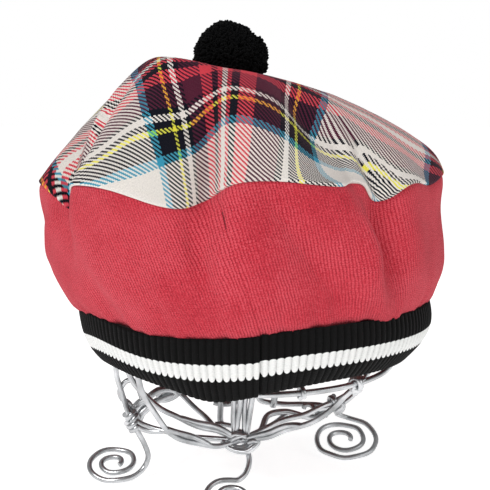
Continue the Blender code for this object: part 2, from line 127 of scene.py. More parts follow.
FOLDS = (
    # name, seam_at, band_at, drop, tuck_seam, tuck_mid, tuck_band, left, right, reach
    ("left tuck", -177.0, -177.0, 0.0, 0.45, 0.00, 0.0, 16.0, 13.0, 0.22),
    ("left pleat", -142.0, -150.0, 1.4, 1.00, 0.30, 0.0, 9.0, 4.5, 0.75),
    ("low left hollow", -146.0, -132.0, 0.0, 0.00, 0.24, 0.3, 5.0, 3.0, 0.30),
    ("front sag", -102.0, -104.0, 1.17, 0.00, 0.50, 0.1, 15.5, 8.5, 0.95),
    ("front tuck", -96.5, -102.0, 0.1, 1.10, 0.32, 0.0, 4.0, 4.0, 0.95),
    ("broad hollow", -82.0, -62.0, 0.0, 0.15, 0.66, 0.25, 7.5, 6.0, 0.30),
    ("flap tuck", -58.0, -56.0, -0.08, 0.60, -0.10, 0.0, 2.8, 4.0, 0.60),
    ("right pleat", -51.0, -47.0, 0.0, 0.50, 1.05, -0.2, 3.5, 4.6, 0.30),
    ("right flap", -50.0, -45.0, 0.9, 0.00, 0.00, 0.0, 3.1, 7.0, 0.60),
    ("right ridge", -57.0, -52.0, 0.0, 0.00, -0.28, 0.0, 4.0, 3.0, 0.30),
    ("right lip", -27.0, -25.0, 0.3, 0.15, 0.24, 0.1, 7.0, 7.0, 0.50),
)
# One row for each crease that runs down the crown, from top_at high on the skirt to
# foot_at at the seam. depth is a share of FOLD_DEPTH along the surface's normal; left and
# right are half widths in degrees; start, full and end are shares of the crown's section.
CREASES = (
    # name, top_at, foot_at, bend, depth, left, right, start, full, end
    ("left crease", -164.0, -142.0, 3.0, 0.60, 9.0, 3.5, 0.60, 0.85, 1.06),
    ("front valley", -114.0, -95.0, 1.0, 0.45, 7.0, 4.0, 0.62, 0.82, 1.05),
    ("right valley", -72.0, -61.0, 1.0, 0.45, 5.0, 5.0, 0.60, 0.82, 1.05),
)


def crease_at(row, share):
    """Azimuth of a crease at a share of the crown's section."""
    name, top_at, foot_at, bend, depth, left, right, start, full, end = row
    return top_at + (foot_at - top_at) * np.clip((share - start) / (1 - start), 0, 1) ** bend


# The wires from the hoop down to the hub, and the legs with their scrolls.
BASKET = (
    # name, hoop_at, out_1, down_1, out_2, down_2
    ("front_left", -153, 0.10, 0.60, 0.55, 0.66),
    ("low_left", -143, 0.10, 0.70, 0.45, 1.12),
    ("left", -175, 0.02, 1.02, 0.24, 1.02),
    ("right", -46, 0.18, 0.42, 0.40, 0.66),
    ("rear_left", 146, 0.20, 0.65, 0.55, 0.92),
    ("rear_right", 14, 0.20, 0.80, 0.45, 0.62),
)
LEGS = (
    # name, wire, along, foot_x, foot_y, wide, deep, lean, turns, hand, start, aside, drop, swing
    ("left", "left", 0.40, -0.98, 0.08, 1.08, 0.93, 28, 2.0, -1, -30, 0.26, 0.40, 0.38),
    ("right", "rear_right", 0.49, 0.78, 0.61, 1.40, 1.25, 24, 2.25, -1, 80, 0.12, 0.04, 0.22),
    ("front", "hub", 0.0, -0.10, -0.63, 0.94, 0.94, 28, 2.0, 1, 80, 0.25, 0.35, 0.35),
)
LEG_AWAY = (0.65, -0.75)
LEG_GAP = 0.0017
HUB_LEG = (0.70, -0.50, -0.50)
SCROLL_END = 0.20

# Hand work on the wires, along the lines of their solids. The drawn wire is a little
# thicker than its solid.
THICK = 1.14
KINK_SEED = 2
KINKS = {
    # kind: size, wave
    "upright": (0.0012, 0.030),
    "post": (0.0014, 0.012),
    "basket": (0.0022, 0.020),
    "leg": (0.0012, 0.014),
}
# How far a second wire lies from the first, middle to middle, in wire radii, and the
# steps in one turn of a wrapping.
STRAND_AWAY = 1.9
WRAP_AWAY = 2.0
WRAP_STEPS = 12
HOOP_WRAPS = (
    # start, end, turns, thickness
    (0.64, 0.72, 1.7, 1.0),
    (0.14, 0.17, 0.9, 0.8),
)
DOUBLED = (
    # wire, start, end, sideways, upward, bow
    ("low_left", 0.44, 0.80, 0.3, 1.0, 0.0014),
    ("front_left", 0.60, 0.98, -0.2, 1.0, 0.0004),
    ("left", 0.28, 0.64, 0.2, -1.0, 0.0004),
    ("right", 0.64, 0.98, 0.0, 1.0, 0.0004),
    ("rear_right", 0.24, 0.60, 0.0, -1.0, 0.0008),
)
WOUND = (
    # wire, start, end, turns
    ("left", 0.345, 0.41, 1.8),
    ("right", 0.02, 0.08, 1.5),
    ("rear_right", 0.46, 0.50, 1.3),
)
LOOSE = {
    # wire: for each loose end its thickness, then its points in millimetres
    "left": (
        (1.0, (-61, -2, -38), (-66, -4, -28), (-70, -4, -25), (-71, -5, -20), (-68, -5, -15), (-64, -5, -14),
         (-61, -6, -17), (-58, -8, -24)),
        (1.3, (-64, 2, -38), (-62, 0, -31), (-56, 0, -26), (-50, 2, -22), (-43, 4, -21), (-37, 8, -18),
         (-32, 14, -14)),
        (1.3, (-62, 4, -42), (-58, 4, -34), (-52, 6, -30), (-45, 8, -27), (-38, 10, -25), (-34, 16, -20)),
        (1.6, (-64, 0, -33), (-60, 1, -29), (-56, 2, -28), (-55, 3, -31), (-60, 2, -36), (-62, 1, -41)),
        (1.5, (-52, 6, -26), (-48, 7, -23), (-42, 8, -23), (-40, 9, -26), (-46, 9, -29), (-51, 8, -28)),
    ),
    "rear_right": (
        (1.0, (46, 3, -38), (48, 4, -34), (44, 6, -32), (34, 8, -32), (24, 8, -32), (14, 8, -31), (9, 6, -29),
         (7, 4, -25)),
        (1.15, (3, -16, -44), (9, -12, -41), (13, -4, -35), (23, 0, -34), (33, 2, -37), (40, 2, -38),
         (47, 2, -35)),
        (0.9, (9, -10, -42), (16, -4, -40), (24, 0, -35)),
        (0.9, (44, 3, -38), (41, 4, -35), (38, 6, -32), (35, 6, -32), (34, 6, -34)),
        (1.2, (16, 6, -33), (17, 6, -28), (18, 6, -22)),
    ),
    "rear_left": (
        (1.0, (-18, 2, -29), (-14, 2, -30), (-9, 2, -30), (-5, 0, -28)),
        (1.1, (-14, 1, -20), (-14, 0, -30), (-14, -2, -39), (-11, -4, -42)),
        (0.9, (-17, -4, -40), (-12, -5, -40), (-7, -8, -40)),
    ),
}
HUB_TURNS = 5
HUB_WIDE = 0.0052
HUB_TAIL = ((-13, -21, -45), (-7, -25, -48), (0, -27, -48.5), (4, -27, -46.5), (7, -26, -43.5),
            (5, -26, -42.5), (2, -25, -44))
SCROLL_STEPS = 90
ARM_STEPS = 30
POST_BOW = 0.003

# Sizes of the dressed surfaces
DISC_R = 0.131
# How the flat disc lies on the crown: slip is the power of its share of the way out and
# twist the degrees that its rim is turned. slack millimetres are taken up and swing
# degrees turned back on the skirt, most at 0.84 of the way.
LIE = (
    # azimuth, slip, twist, slack, swing
    (-180, 1, 0, 0, 7),
    (-152, 1, 0, 0, 7),
    (-135, 0.96, 5, 0, 0),
    (-120, 0.95, 6, 0, 0),
    (-112, 0.98, 7.5, 0, 0),
    (-104, 0.94, 5, 0.5, 0),
    (-90, 1, -2, 0.5, 0),
    (-83, 1.02, -1, 3, 0),
    (-76, 1.05, 1, 5.5, 1),
    (-70, 1.04, 3, 9.5, 5),
    (-64, 1.02, 5, 9.5, 9),
    (-57, 1.01, 5, 11, 7),
    (-53, 1.01, 4.5, 5.5, 5),
    (-48, 1, 5, -4, 2),
    (-41, 1, 5.5, 3, 1.5),
    (-32, 0.97, 8, 3.5, 2),
    (-22, 0.98, 11, 3, 1.5),
    (-12, 1, 15, 1, 0.5),
    (10, 1, 18, 1, 0),
    (45, 1, 8, 2, 0),
    (90, 1, 0, 0, 0),
    (135, 1, 2, 0, 0),
)
# Rim cloth that is folded under the hem: how many millimetres at each azimuth.
FOLDED_UNDER = (
    # azimuth, millimetres
    (-180, 0), (-70, 0), (-62, 0), (-58, 0.5), (-53, 6), (-49, 11),
    (-43, 12), (-36, 6), (-28, 0.5), (-22, 0), (-10, 0), (90, 0),
)
# Cloth hidden in a crease: it is turned on by so many degrees, which fade over so many.
HIDDEN = {"left crease": (27.0, 9.0)}
CREASE_EDGE = 1.5
TURN_POWER = 1.5

# The meshes' rows and columns, closer together across the folded front, and the small
# relief of cloth and knit.
FRONT_AT = -86
FRONT_WIDE = 62
FRONT_DENSER = 2.2
CROWN_COLUMNS = 400
CROWN_ROWS = 90
CROWN_START = 0.03
CROWN_WAVE = 0.020
CROWN_SWELL = 0.0008
HEM_ROLL = 0.0011
HEM_STEPS = 5
KNIT_COLUMNS = 420
KNIT_ROWS = 64
KNIT_WAVE = 0.022
KNIT_SWELL = 0.0012
WALE = 0.00165
COURSE = 0.00125
# Degrees that a wale leans between the seam and the band.
KNIT_LEAN = 6.3
HEM_TUCK = 0.0016
FOOT_TUCK = 0.0012
FOOT_SINK = 0.0015
GATHER_START = 0.62
GATHER_DEPTH = 0.0007
GATHERS = (
    # waves round the hat, degrees ahead, share of GATHER_DEPTH
    (41, 0, 0.5),
    (67, 40, 0.35),
    (23, 110, 0.3),
)
# The sewn seam of the knit, in degrees, and the pinch in it, in courses from the top.
# The knit's colour has painted shade along this seam and in its pinch.
SEAM_AT = -88.4
SEAM_WIDTH = 0.45
SEAM_DEPTH = 0.00015
PINCH_AT = 10.8
PINCH_LONG = 4.5
PINCH_DEPTH = 0.0006
# Shallow dents in the knit, beyond the folds that the solid has.
DENTS = (
    # name, seam_at, band_at, top, foot, metres deep, half width in degrees
    ("sag valley", -102.0, -100.5, 0.00, 0.60, 0.0026, 2.3),
    ("sag ridge", -97.2, -95.5, 0.05, 0.80, -0.0009, 2.2),
    ("slanting hollow", -84.0, -61.0, 0.00, 0.95, 0.0023, 3.2),
    ("beside the hollow", -76.0, -54.0, 0.05, 0.90, -0.0009, 3.0),
    ("pleat mouth", -56.5, -44.0, 0.00, 0.50, 0.0034, 3.2),
    ("left ridge", -139.0, -192.0, 0.00, 0.70, -0.0022, 4.0),
    ("left hollow", -149.0, -204.0, 0.00, 0.55, 0.0016, 4.0),
    ("low left dent", -127.0, -112.0, 0.45, 1.00, 0.0009, 3.0),
)
RIBS = 160
RIB_STEPS = 7
RIB_DEEP = 0.0010
RIB_ROUND = 0.55
BAND_MARKS = (-0.015, 0.03, 0.10, 0.18, 0.26, 0.33, STRIPE_TOP, 0.45, 0.50, 0.55, 0.60, STRIPE_FOOT, 0.71,
              0.78, 0.85, 0.91, 0.96, 1.0)
# How far the stripe's edges run down or up the ribs, in shares of the band's height.
TOP_FINGER = 0.034
FOOT_FINGER = 0.068
FINGER_REACH = 0.15
BAND_ROLL = 0.0012
BAND_ROLL_STEPS = 4
BAND_SEAM_WIDTH = 0.35
BAND_SEAM_DEPTH = 0.0011
STEP_SHARE = 0.028
STEP_REACH = 30

# The pompom's head and its cut yarn ends.
HEAD_ROWS = 24
HEAD_COLUMNS = 40
HEAD_INSET = 0.0028
YARN_ENDS = 3400
END_SIDES = 5
END_LONG = 0.0045
END_UNEVEN = 0.00028
END_BOW = 0.0006
END_R = 0.00062
END_R_MORE = 0.0002
# Each point of an end's profile: share of the way out, share of the thickness.
END_PROFILE = ((0.0, 0.8), (0.5, 1.0), (0.85, 1.05), (1.0, 0.55))
# Uneven clipping of the pompom: a direction, a share of the radius, half width in radians.
POMPOM_LUMPS = (
    # right, back, up, high, wide
    (0.60, -0.15, 0.85, -0.115, 0.42),
    (0.15, -0.30, 1.00, 0.03, 0.35),
    (-0.30, -0.20, 1.00, 0.04, 0.40),
    (-0.75, -0.20, 0.70, 0.05, 0.35),
    (-0.50, -0.20, 0.90, -0.03, 0.15),
    (-1.00, -0.20, 0.10, 0.01, 0.35),
    (0.95, -0.20, 0.45, 0.075, 0.28),
    (1.00, -0.20, -0.50, -0.03, 0.50),
)

# Sett of the tartan: half the repeat, mirrored at both ends. Millimetres of cloth.
THREAD = 0.625
TWILL = 4
WARP_PIVOT = -4.0
WEFT_PIVOT = -49.5
SETT = (
    # to, colour
    (1.6, "white"), (4.5, "red"), (8.2, "black"), (15.0, "red"), (26.0, "maroon"), (28.4, "black"),
    (31.6, "white"), (34.9, "black"), (37.1, "yellow"), (47.5, "black"), (51.4, "azure"), (79.0, "white"),
)


def srgb(r, g, b):
    """Linear colour from a screen colour of 0 to 255."""
    return tuple(((v / 255 + 0.055) / 1.055) ** 2.4 if v > 10 else v / 255 / 12.92 for v in (r, g, b))


YARNS = {
    # name: its colour, its tint on a thread that crosses over it, what it takes of a tint
    "white": (srgb(227, 221, 214), (1.00, 1.00, 1.00), (0.08,) * 3),
    "red": (srgb(211, 68, 82), (1.00, 0.42, 0.36), (0.25,) * 3),
    "maroon": (srgb(78, 29, 50), (0.90, 0.45, 0.50), (0.30,) * 3),
    "black": (srgb(9, 15, 26), (0.80, 0.86, 0.86), (0.25,) * 3),
    "yellow": (srgb(232, 224, 84), (1.00, 1.00, 0.60), (1.00,) * 3),
    "azure": (srgb(66, 150, 176), (0.36, 0.90, 1.00), (0.50,) * 3),
}
WEAVE_BUMP = 0.00025
KNIT_BUMP = 0.0003
YARN_BUMP = 0.0004
WIRE_BUMP = 0.00012

# Studio
FLOOR_REACH = 4
FLOOR_GLOW = 0.72
DOME_LIGHT = 0.37
LAMP_AIM = Vector((0, 0, 0.14))
LAMPS = (
    # name, place, size, watts
    ("key", (-0.62, -1.0, 1.05), 0.5, 11),
    ("fill", (1.0, -0.6, 0.6), 0.8, 2.6),
)
# The camera stands back from and above the band's rim, and looks down by some degrees.
CAMERA_BACK = 0.620
CAMERA_UP = 0.160
CAMERA_DOWN = 8.9
FOCAL_PX = 1119
FRAME_PX = 490

hub_low, hub_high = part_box("stand_hub")
SHIFT = (hub_low + hub_high) / 2 - HUB


# Shape functions shared with the solids
def smooth_round(azimuth, xs, ys):
    """Values at an azimuth, smooth all round through the points of a table."""
    xs = np.concatenate([xs[-2:] - 360, xs, xs[:2] + 360])
    ys = np.concatenate([ys[-2:], ys, ys[:2]])
    step = np.diff(xs)
    rate = np.diff(ys) / step
    slope = np.zeros(len(xs))
    slope[1:-1] = (rate[:-1] * step[1:] + rate[1:] * step[:-1]) / (step[1:] + step[:-1])
    at = (np.asarray(azimuth, float) - xs[2]) % 360 + xs[2]
    i = np.clip(np.searchsorted(xs, at, side="right") - 1, 1, len(xs) - 3)
    t = (at - xs[i]) / step[i]
    from_here = (2 * t**3 - 3 * t**2 + 1) * ys[i] + (t**3 - 2 * t**2 + t) * step[i] * slope[i]
    to_next = (3 * t**2 - 2 * t**3) * ys[i + 1] + (t**3 - t**2) * step[i] * slope[i + 1]
    return from_here + to_next


def column_of(table, azimuth, column):
    xs = np.array([row[0] for row in table], float)
    ys = np.array([row[column] for row in table], float)
    return smooth_round(azimuth, xs, ys)


def periodic(azimuth, column):
    return column_of(SECTIONS, azimuth, column)


def past(azimuth, middle):
    """Degrees that an azimuth is past another, from -180 to 180."""
    return (azimuth - middle + 180) % 360 - 180


def bell(azimuth, middle, left, right):
    away = past(azimuth, middle)
    return np.exp(-((away / np.where(away < 0, left, right)) ** 2))


def through(v, start, middle, end):
    return start * (1 - v) * (1 - 2 * v) + 4 * middle * v * (1 - v) + end * v * (2 * v - 1)


def spline(points, t):
    """Quadratic B-spline that starts and ends on its first and last points."""
    points = np.stack(np.broadcast_arrays(*points, t)[:-1])
    spans = len(points) - 2
    place = np.clip(t * spans, 0, spans - 1e-9)
    k = np.floor(place).astype(int)
    u = place - k
    k = np.broadcast_to(k, points.shape[1:])
    a, b, c = (np.take_along_axis(points, (k + j)[None], 0)[0] for j in range(3))
    start = np.where(k == 0, a, (a + b) / 2)
    end = np.where(k == spans - 1, c, (b + c) / 2)
    return start * (1 - u) ** 2 + 2 * b * u * (1 - u) + end * u**2


def polar(azimuth, radius, height, offset):
    angle = np.radians(azimuth)
    return np.stack([offset + radius * np.cos(angle), radius * np.sin(angle), height], -1)


def seam_drop(azimuth):
    drop = 0 * azimuth
    for name, seam, band_at, lower, t0, t1, t2, left, right, reach in FOLDS:
        drop = drop + FOLD_DEPTH * lower * bell(azimuth, seam, left, right)
    return drop


def crown(azimuth, share):
    """Outside of the crown, from its middle (share 0) over the ridge to the seam (1)."""
    azimuth, share = np.broadcast_arrays(np.asarray(azimuth, float), np.asarray(share, float))
    ridge_r = RIDGE_R * periodic(azimuth, 1)
    ridge_z = BRIM_Z + CROWN_RISE * periodic(azimuth, 2)
    brim_r = BRIM_R * periodic(azimuth, 3)
    brim_z = BRIM_Z * periodic(azimuth, 4)
    seat = BRIM_Z + CROWN_RISE - SEAT_DIP + 0 * azimuth
    radius = spline(
        [0 * azimuth, 0.45 * ridge_r, 0.85 * ridge_r, 1.08 * ridge_r,
         ridge_r + periodic(azimuth, 7) * (brim_r - ridge_r), brim_r], share)
    height = spline(
        [seat, seat, seat + 0.75 * (ridge_z - seat), ridge_z + 0.04 * CROWN_RISE,
         brim_z + periodic(azimuth, 8) * (ridge_z - brim_z), brim_z], share)
    skirt = np.clip((share - 0.45) / 0.55, 0, 1)
    for name, seam, band_at, lower, t0, t1, t2, left, right, reach in FOLDS:
        grown = np.clip((skirt - 1 + reach) / reach, 0, 1)
        grown = 0.5 * grown**2 * (3 - 2 * grown) + 0.5 * grown**2
        hump = FOLD_DEPTH * grown * bell(azimuth, seam, left, right)
        radius = radius - t0 * hump
        height = height - lower * hump
    slope = np.arctan2(ridge_z - brim_z, brim_r - ridge_r)
    for row in CREASES:
        name, top_at, foot_at, bend, depth, left, right, start, full, end = row
        up = np.clip((share - start) / (full - start), 0, 1)
        down = np.clip((end - share) / (end - full), 0, 1)
        hump = FOLD_DEPTH * depth * up**2 * (3 - 2 * up) * down**2 * (3 - 2 * down)
        hump = hump * bell(azimuth, crease_at(row, share), left, right)
        radius = radius - hump * np.sin(slope)
        height = height - hump * np.cos(slope)
    return polar(azimuth, radius, height, CROWN_OFFSET)


def side(azimuth, v):
    """Outside of the knitted side, from the seam (v = 0) to the band (v = 1)."""
    azimuth, v = np.broadcast_arrays(np.asarray(azimuth, float), np.asarray(v, float))
    brim_r = BRIM_R * periodic(azimuth, 3)
    top = BRIM_Z * periodic(azimuth, 4) - seam_drop(azimuth)
    belly = BELLY_R * periodic(azimuth, 5)
    foot = BAND_HEIGHT * (1 + periodic(azimuth, 6))
    tall = top - foot
    radius = spline([brim_r, belly, 0.99 * belly, BAND_TOP_R + HEM_FLARE, BAND_TOP_R], v)
    height = spline([top, top - 0.16 * tall, top - 0.5 * tall, foot + 0.18 * tall, foot], v)
    for name, seam, band_at, lower, t0, t1, t2, left, right, reach in FOLDS:
        spread = 1 + 0.6 * v
        hump = bell(azimuth, seam + (band_at - seam) * v, left * spread, right * spread)
        radius = radius - FOLD_DEPTH * through(v, t0, t1, t2) * hump
    return polar(azimuth, radius, height, CROWN_OFFSET + (BAND_OFFSET - CROWN_OFFSET) * v)


def band(azimuth, v, rib=0.0):
    """Outside of the band, from its top (v = 0) to its lower rim (v = 1)."""
    azimuth, v = np.broadcast_arrays(np.asarray(azimuth, float), np.asarray(v, float))
    bulge = BAND_BULGE * (1 + BULGE_LEAN * np.cos(np.radians(azimuth)))
    radius = BAND_TOP_R + (BAND_FOOT_R - BAND_TOP_R) * v + bulge * np.sin(np.pi * v)
    hem = periodic(azimuth, 6)
    height = BAND_HEIGHT * (1 - v + hem + (periodic(azimuth, 9) - hem) * v**3)
    return polar(azimuth, radius + rib, height, BAND_OFFSET)


def columns(count):
    """Azimuths round the hat, closer together across the folded front."""
    fine = np.linspace(-180, 180, 1441)
    density = 1 + FRONT_DENSER * np.exp(-(((fine - FRONT_AT) / FRONT_WIDE) ** 6))
    total = np.concatenate([[0], np.cumsum((density[1:] + density[:-1]) / 2)])
    return np.interp(np.arange(count) / count * total[-1], total, fine)


# Meshes
def unit(vectors):
    return vectors / np.maximum(np.linalg.norm(vectors, axis=-1, keepdims=True), 1e-12)


def steps_down(grid):
    """How long each step down a grid is, row by row."""
    return np.linalg.norm(np.diff(grid, axis=0), axis=-1)


def outward(grid):
    """Outward normals of a grid of rows running down and columns running round."""
    down = np.gradient(grid, axis=0)
    across = np.roll(grid, -1, 1) - np.roll(grid, 1, 1)
    return unit(np.cross(down, across))


def rolled(grid, radius, angle, steps):
    """The grid with its last rows carried on round a small roll, inwards."""
    edge = grid[-1]
    normal = outward(grid)[-1]
    on = unit(edge - grid[-2])
    rows = []
    for k in range(1, steps + 1):
        turn = math.radians(angle) * k / steps
        rows.append(edge + radius * (math.sin(turn) * on - (1 - math.cos(turn)) * normal))
    return np.concatenate([grid, np.array(rows)])


def ripple(grid, size, height, seed):
    """Small smooth unevenness along the normals, as worn cloth has."""
    normal = outward(grid)
    flat = grid.reshape(-1, 3)
    swell = np.array([noise.noise(Vector(p) / size + Vector((seed, 0, 0))) for p in flat])
    return grid + normal * (height * swell.reshape(grid.shape[:2]))[..., None]


def placed(name, data, *mats):
    """A new object of a mesh, curve, lamp or camera, with its materials."""
    for mat in mats:
        data.materials.append(mat)
    obj = bpy.data.objects.new(name, data)
    bpy.context.collection.objects.link(obj)
    return obj


def quads(a, b, count, outside=False, closed=True):
    """Quads between two rings of corners that start at a and b, seen from in or outside.
    Rings that aren't closed have one more corner."""
    made = []
    for c in range(count):
        d = (c + 1) % count if closed else c + 1
        made.append((a + c, b + c, b + d, a + d) if outside else (a + c, a + d, b + d, b + c))
    return made


def shell(name, outer, inner, uv, mats, close_top=False, slots=None):
    """Closed cloth wall between two grids, with a UV map given at each grid corner."""
    rows, cols = outer.shape[:2]
    inner_rows = inner.shape[0]
    verts = np.concatenate([outer.reshape(-1, 3), inner.reshape(-1, 3)])
    base = rows * cols
    faces = []
    corners = []
    mat_ids = []

    def wall(a, b, row_a, row_b, slot=0, outside=False):
        """Quads between two rings of the shell, on two rows of the UV map."""
        faces.extend(quads(a, b, cols, outside))
        corners.extend(quads(row_a * (cols + 1), row_b * (cols + 1), cols, outside, closed=False))
        mat_ids.extend([slot] * cols)

    for r in range(rows - 1):
        wall(r * cols, (r + 1) * cols, r, r + 1, slots[r] if slots else 0, outside=True)
    share = (rows - 1) / (inner_rows - 1)
    for r in range(inner_rows - 1):
        a = base + r * cols
        wall(a, a + cols, round(r * share), round((r + 1) * share))
    wall(len(verts) - cols, base - cols, rows - 1, rows - 1)
    if close_top:
        ring = list(range(cols))
        faces += [ring, [base + c for c in reversed(ring)]]
        corners += [ring, ring[::-1]]
        mat_ids += [0, 0]
    else:
        wall(0, base, 0, 0)
    mesh = bpy.data.meshes.new(name)
    mesh.from_pydata((verts + np.array(SHIFT)).tolist(), [], faces)
    layer = mesh.uv_layers.new(name="cloth")
    spots = uv.reshape(-1, 2)[np.concatenate(corners)]
    layer.data.foreach_set("uv", spots.astype(np.float32).ravel())
    obj = placed(name, mesh, *mats)
    mesh.polygons.foreach_set("material_index", mat_ids)
    mesh.shade_smooth()
    mesh.update()
    return obj


def lie_flat(azimuth, share, grid):
    """Where each point of the crown was on the flat disc of cloth, in millimetres."""
    first = np.linalg.norm(grid[0] - grid[0].mean(0), axis=-1)
    way = first + np.concatenate([np.zeros((1, len(azimuth))), np.cumsum(steps_down(grid), 0)])
    way = way / way[-1]
    hump = 4 * way**4 * (1 - way**4)
    slack = column_of(LIE, azimuth, 3) / 1000
    under = column_of(FOLDED_UNDER, azimuth, 1) / 1000
    out = DISC_R * way ** column_of(LIE, azimuth, 1) - slack * hump - under * way**8
    rim = np.linalg.norm(np.roll(grid[-1], -1, 0) - grid[-1], axis=-1)
    round_to = np.concatenate([[0], np.cumsum(rim)])
    turned = -180 + 360 * round_to / round_to[-1]
    at = np.append(azimuth, azimuth[0] + 360)
    turned -= np.interp(-90, at, turned - at)
    out, hump = (np.concatenate([part, part[:, :1]], 1) for part in (out, hump))
    turn = turned - at - column_of(LIE, at, 2)
    for row in CREASES:
        if row[0] in HIDDEN:
            degrees, over = HIDDEN[row[0]]
            ahead = past(at[None, :], crease_at(row, share)[:, None])
            shown = (1 - np.exp(-((ahead / CREASE_EDGE) ** 2))) * np.exp(-ahead / over)
            turn = turn + degrees * np.where(ahead > 0, shown, 0)
    angle = np.radians(at + (out / DISC_R) ** TURN_POWER * turn + column_of(LIE, at, 4) * hump)
    return 1000 * np.stack([out * np.cos(angle), out * np.sin(angle)], -1)


def spread_rows(uv, extra, step):
    """Flat coordinates carried on over the rows that a roll has added."""
    on = step * unit(uv[-1] - uv[-2])
    return np.concatenate([uv, [uv[-1] + on * (k + 1) for k in range(extra)]])


# Materials
def sum_step(operation, swapped=False):
    """The method of one operator, which adds one math node."""

    def step(value, other):
        return value.look.math(operation, *((other, value) if swapped else (value, other)))

    return step


class Value:
    """An output socket that can stand in a sum."""

    __add__ = sum_step("ADD")
    __radd__ = sum_step("ADD", swapped=True)
    __sub__ = sum_step("SUBTRACT")
    __rsub__ = sum_step("SUBTRACT", swapped=True)
    __mul__ = sum_step("MULTIPLY")
    __truediv__ = sum_step("DIVIDE")
    __lt__ = sum_step("LESS_THAN")
    __gt__ = sum_step("GREATER_THAN")

    def __init__(self, look, socket):
        self.look = look
        self.socket = socket

    def __abs__(self):
        return self.look.math("ABSOLUTE", self)


class Look:
    """A node material, built by small calls that return values."""

    def __init__(self, name):
        self.mat = bpy.data.materials.new(name)
        self.mat.use_nodes = True
        self.tree = self.mat.node_tree
        self.shader = self.tree.nodes["Principled BSDF"]

    def node(self, kind, **settings):
        made = self.tree.nodes.new("ShaderNode" + kind)
        for key, value in settings.items():
            setattr(made, key, value)
        return made

    def feed(self, socket, value):
        if isinstance(value, Value):
            self.tree.links.new(value.socket, socket)
        elif isinstance(value, tuple):
            socket.default_value = (*value, 1)
        else:
            socket.default_value = value

    def math(self, operation, *values):
        made = self.node("Math", operation=operation)
        for socket, value in zip(made.inputs, values):
            self.feed(socket, value)
        return Value(self, made.outputs[0])

    def mix(self, share, a, b, blend="MIX"):
        made = self.node("Mix", data_type="RGBA", blend_type=blend)
        for number, value in ((0, share), (6, a), (7, b)):
            self.feed(made.inputs[number], value)
        return Value(self, made.outputs[2])

    def ramp(self, value, stops, interpolation="LINEAR"):
        made = self.node("ValToRGB")
        made.color_ramp.interpolation = interpolation
        elements = made.color_ramp.elements
        while len(elements) < len(stops):
            elements.new(0.5)
        for element, (place, colour) in zip(elements, stops):
            element.position = place
            element.color = (*colour, 1)
        self.feed(made.inputs[0], value)
        return Value(self, made.outputs[0])

    def shades(self, value, *stops):
        """A ramp of screen colours. Each stop is its place and then its red, green and blue."""
        return self.ramp(value, [(place, srgb(*colour)) for place, *colour in stops])

    def noise(self, scale, detail=2.0, roughness=0.5, vector=None):
        """Noise of a number of waves a metre, or for each unit of another vector."""
        made = self.node("TexNoise")
        if vector is None:
            vector = Value(self, self.node("TexCoord").outputs["Object"])
        self.feed(made.inputs["Vector"], vector)
        self.feed(made.inputs["Scale"], scale)
        self.feed(made.inputs["Detail"], detail)
        self.feed(made.inputs["Roughness"], roughness)
        return Value(self, made.outputs[0])

    def grey(self, level):
        made = self.node("CombineColor")
        for socket in made.inputs:
            self.feed(socket, level)
        return Value(self, made.outputs[0])

    def zigzag(self, value):
        """From 0 up to 0.5 and down again over each unit."""
        return self.math("PINGPONG", value, 0.5)

    def uv(self):
        """The cloth's coordinates, whole and split into two."""
        flat = Value(self, self.node("UVMap", uv_map="cloth").outputs[0])
        split = self.node("SeparateXYZ")
        self.feed(split.inputs[0], flat)
        return flat, Value(self, split.outputs[0]), Value(self, split.outputs[1])

    def bump(self, height, distance, strength=1.0):
        made = self.node("Bump")
        self.feed(made.inputs["Strength"], strength)
        self.feed(made.inputs["Distance"], distance)
        self.feed(made.inputs["Height"], height)
        self.tree.links.new(made.outputs[0], self.shader.inputs["Normal"])

    def finish(self, colour, roughness, sheen=0.0, sheen_rough=0.5, sheen_tint=(1, 1, 1), metal=0.0,
               specular=0.5):
        """What is the same all over the surface is set on the shader's own sockets."""
        for name, value in (("Base Color", colour), ("Roughness", roughness), ("Metallic", metal),
                            ("Sheen Weight", sheen), ("Sheen Roughness", sheen_rough),
                            ("Sheen Tint", sheen_tint), ("Specular IOR Level", specular)):
            self.feed(self.shader.inputs[name], value)
        return self.mat


def tartan_look():
    """A 2/2 twill. Each thread has its colour from the sett and lets the one below show, with painted shade
    towards its edges.
    """
    look = Look("tartan_cloth")
    flat, x, y = look.uv()
    half = SETT[-1][0]
    starts = [0.0] + [end / half for end, name in SETT[:-1]]

    def thread(value, pivot):
        """Number of the thread here, its colour, the tint that it gives and what it takes."""
        count = look.math("FLOOR", value / THREAD)
        away = look.math("PINGPONG", (count + 0.5) * THREAD - pivot, half)
        made = [count]
        for column in range(3):
            stops = [(start, YARNS[name][column]) for start, (end, name) in zip(starts, SETT)]
            made.append(look.ramp(away / half, stops, "CONSTANT"))
        return made

    warp_no, warp, warp_tint, warp_takes = thread(x, WARP_PIVOT)
    weft_no, weft, weft_tint, weft_takes = thread(y, WEFT_PIVOT)
    over = look.math("FRACT", (warp_no + weft_no) / TWILL) < 0.4
    weft_seen = look.mix(weft_takes, weft, look.mix(1.0, weft, warp_tint, "MULTIPLY"))
    warp_seen = look.mix(warp_takes, warp, look.mix(1.0, warp, weft_tint, "MULTIPLY"))
    colour = look.mix(over, weft_seen, warp_seen)
    crest = over * look.zigzag(x / THREAD) + (1.0 - over) * look.zigzag(y / THREAD)
    fibre = look.noise(1.4, 3.0, 0.7, vector=flat)
    # Painted shade: each thread is darker towards its edges, and the fibre noise adds random tone.
    edge_shade_and_fibre = 0.59 + (crest + fibre * 2.8) * 0.24
    colour = look.mix(1.0, colour, look.grey(edge_shade_and_fibre), "MULTIPLY")
    ridge = look.zigzag((x + y) / (2 * THREAD))
    look.bump(crest + ridge * 0.8 + fibre * 0.8, WEAVE_BUMP)
    return look.finish(colour, 0.85, sheen=0.11, sheen_rough=0.4, sheen_tint=srgb(255, 190, 205),
                       specular=0.10)


